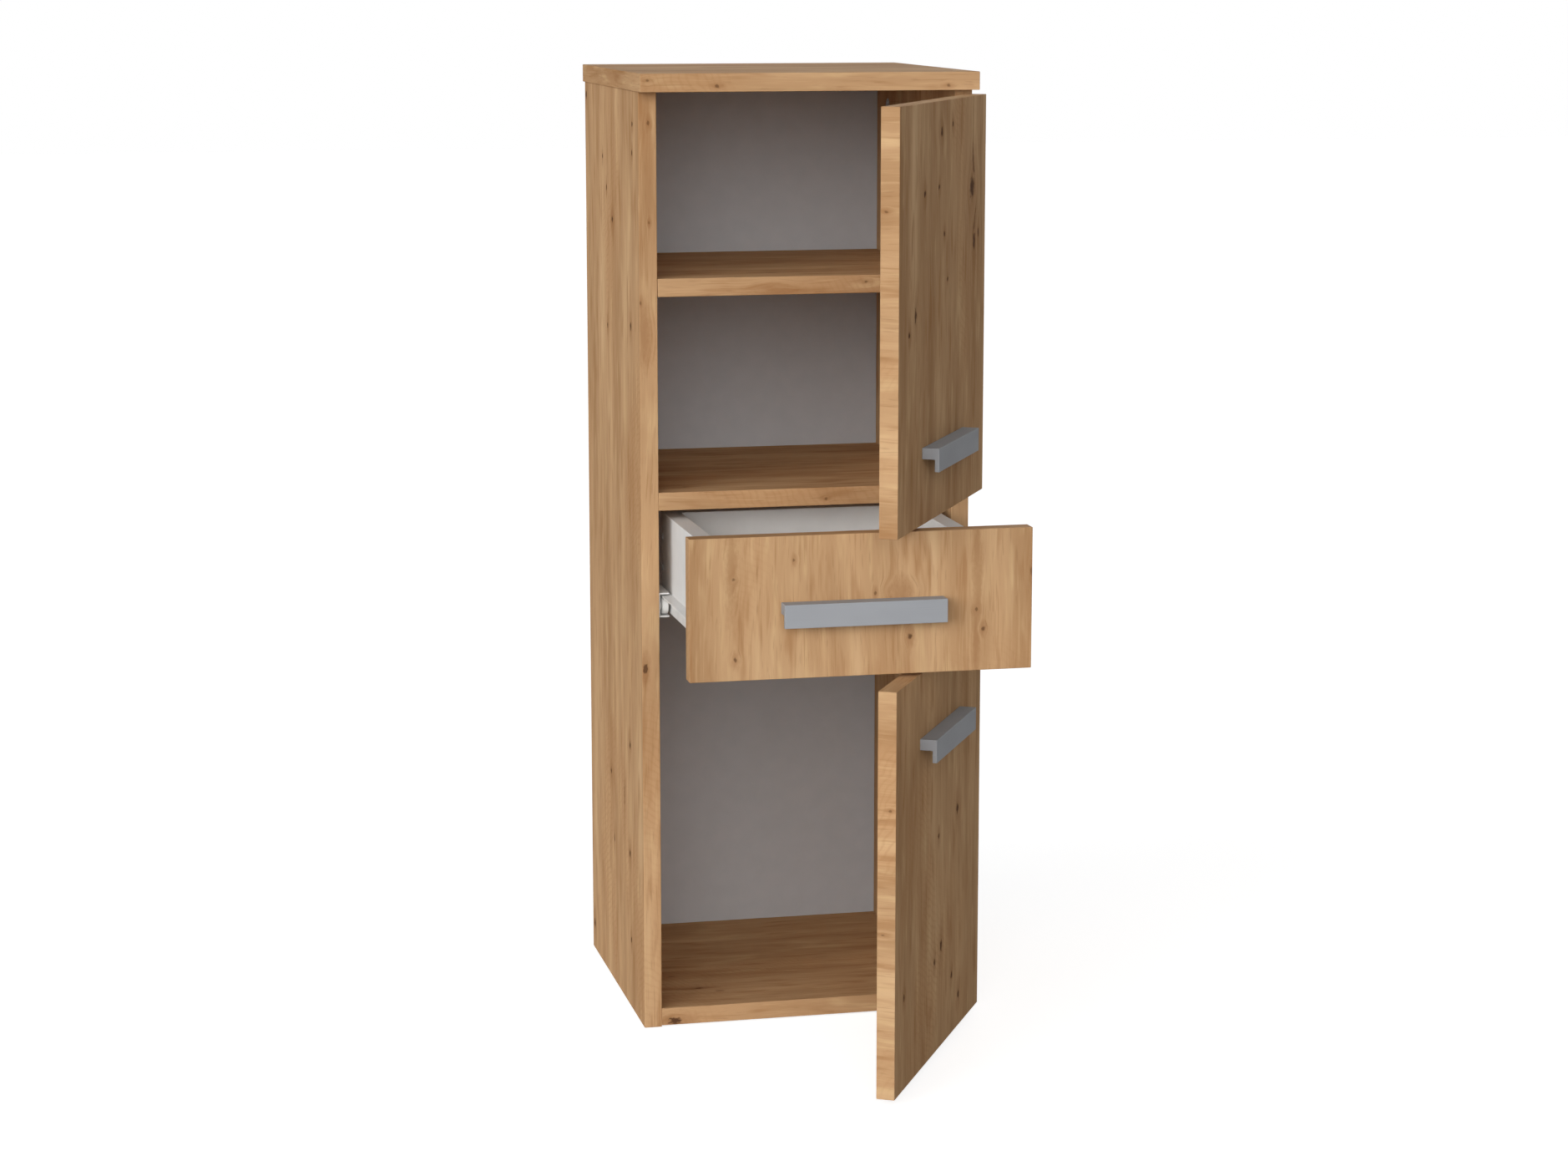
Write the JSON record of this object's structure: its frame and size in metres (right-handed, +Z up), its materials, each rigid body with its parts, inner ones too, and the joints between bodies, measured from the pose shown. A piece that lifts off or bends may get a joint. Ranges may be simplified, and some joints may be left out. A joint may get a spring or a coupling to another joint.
{
  "type": "bathroom cabinet",
  "caption": "Narrow free-standing bathroom cabinet in knotty oak decor with hinged doors, a drawer on roller runners, shelves and hook-shaped bar handles.",
  "frame": {"origin": "on the floor, at the wall, in the middle of the cabinet's width: the lower edge of the back panel's wall face", "axes": "+Z up, +Y into the wall, so the front faces -Y, and +X to the right as seen from the front"},
  "size_m": [0.3115, 0.5474, 0.857],
  "materials": {
    "oak_decor": "satin knotty oak decor",
    "white_board": "matt white coating",
    "white_steel": "white powder coat",
    "white_nylon": "matt",
    "grey_aluminium": "satin",
    "zinc_steel": "zinc plated",
    "beech_dowel": "bare"
  },
  "bodies": {
    "carcass": {"back_panel": "white_board", "back_panel_nails": "zinc_steel", "bottom_panel": "oak_decor", "cabinet_rail_screws": "zinc_steel", "cabinet_roller_axles": "zinc_steel", "carcass_cam_bolts": "zinc_steel", "carcass_cam_locks": "zinc_steel", "carcass_dowels": "beech_dowel", "hinge_arm_screws": "zinc_steel", "hinge_pins": "zinc_steel", "left_cabinet_rail": "white_steel", "left_side_panel": "oak_decor", "lower_door_bottom_hinge_arm": "zinc_steel", "lower_door_top_hinge_arm": "zinc_steel", "middle_shelf": "oak_decor", "right_cabinet_rail": "white_steel", "right_side_panel": "oak_decor", "shelf_pins": "zinc_steel", "top_panel": "oak_decor", "upper_door_bottom_hinge_arm": "zinc_steel", "upper_door_top_hinge_arm": "zinc_steel", "upper_shelf": "oak_decor"},
    "upper_door": {"upper_door_bottom_hinge_cup": "zinc_steel", "upper_door_handle": "grey_aluminium", "upper_door_handle_screws": "zinc_steel", "upper_door_hinge_cup_screws": "zinc_steel", "upper_door_panel": "oak_decor", "upper_door_top_hinge_cup": "zinc_steel"},
    "lower_door": {"lower_door_bottom_hinge_cup": "zinc_steel", "lower_door_handle": "grey_aluminium", "lower_door_handle_screws": "zinc_steel", "lower_door_hinge_cup_screws": "zinc_steel", "lower_door_panel": "oak_decor", "lower_door_top_hinge_cup": "zinc_steel"},
    "drawer": {"drawer_back": "white_board", "drawer_back_screws": "zinc_steel", "drawer_bottom": "white_board", "drawer_bottom_screws": "zinc_steel", "drawer_cam_bolts": "zinc_steel", "drawer_cam_locks": "zinc_steel", "drawer_dowels": "beech_dowel", "drawer_front": "oak_decor", "drawer_handle": "grey_aluminium", "drawer_handle_screws": "zinc_steel", "drawer_left_side": "white_board", "drawer_rail_screws": "zinc_steel", "drawer_right_side": "white_board", "drawer_roller_axles": "zinc_steel", "left_drawer_rail": "white_steel", "right_drawer_rail": "white_steel"},
    "left_cabinet_roller": {"left_cabinet_roller": "white_nylon"},
    "left_drawer_roller": {"left_drawer_roller": "white_nylon"},
    "right_cabinet_roller": {"right_cabinet_roller": "white_nylon"},
    "right_drawer_roller": {"right_drawer_roller": "white_nylon"}
  },
  "joints": [
    {"name": "upper_door_swing", "type": "hinge", "parent": "carcass", "child": "upper_door", "pos_m": [0.1472, -0.2836, 0.6], "axis": [0, 0, 1], "range_deg": [-60.5, 49.5]},
    {"name": "lower_door_swing", "type": "hinge", "parent": "carcass", "child": "lower_door", "pos_m": [0.1472, -0.2836, 0.2], "axis": [0, 0, 1], "range_deg": [-60.5, 49.5]},
    {"name": "drawer_slide", "type": "slide", "parent": "carcass", "child": "drawer", "axis": [0, -1, 0], "range_m": [-0.19, 0]},
    {"name": "left_cabinet_roller_spin", "type": "hinge", "parent": "carcass", "child": "left_cabinet_roller", "pos_m": [-0.12765, -0.269, 0.3873], "axis": [1, 0, 0], "range_deg": [-1362, 1]},
    {"name": "left_drawer_roller_spin", "type": "hinge", "parent": "drawer", "child": "left_drawer_roller", "pos_m": [-0.12765, -0.231, 0.3873], "axis": [1, 0, 0], "range_deg": [-1362, 1]},
    {"name": "right_cabinet_roller_spin", "type": "hinge", "parent": "carcass", "child": "right_cabinet_roller", "pos_m": [0.12765, -0.269, 0.3873], "axis": [1, 0, 0], "range_deg": [-1362, 1]},
    {"name": "right_drawer_roller_spin", "type": "hinge", "parent": "drawer", "child": "right_drawer_roller", "pos_m": [0.12765, -0.231, 0.3873], "axis": [1, 0, 0], "range_deg": [-1362, 1]}
  ],
  "couplings": [
    {"joint": "left_cabinet_roller_spin", "follows": "drawer_slide", "rad_per_m": 125},
    {"joint": "left_drawer_roller_spin", "follows": "drawer_slide", "rad_per_m": 125},
    {"joint": "right_cabinet_roller_spin", "follows": "drawer_slide", "rad_per_m": 125},
    {"joint": "right_drawer_roller_spin", "follows": "drawer_slide", "rad_per_m": 125}
  ]
}
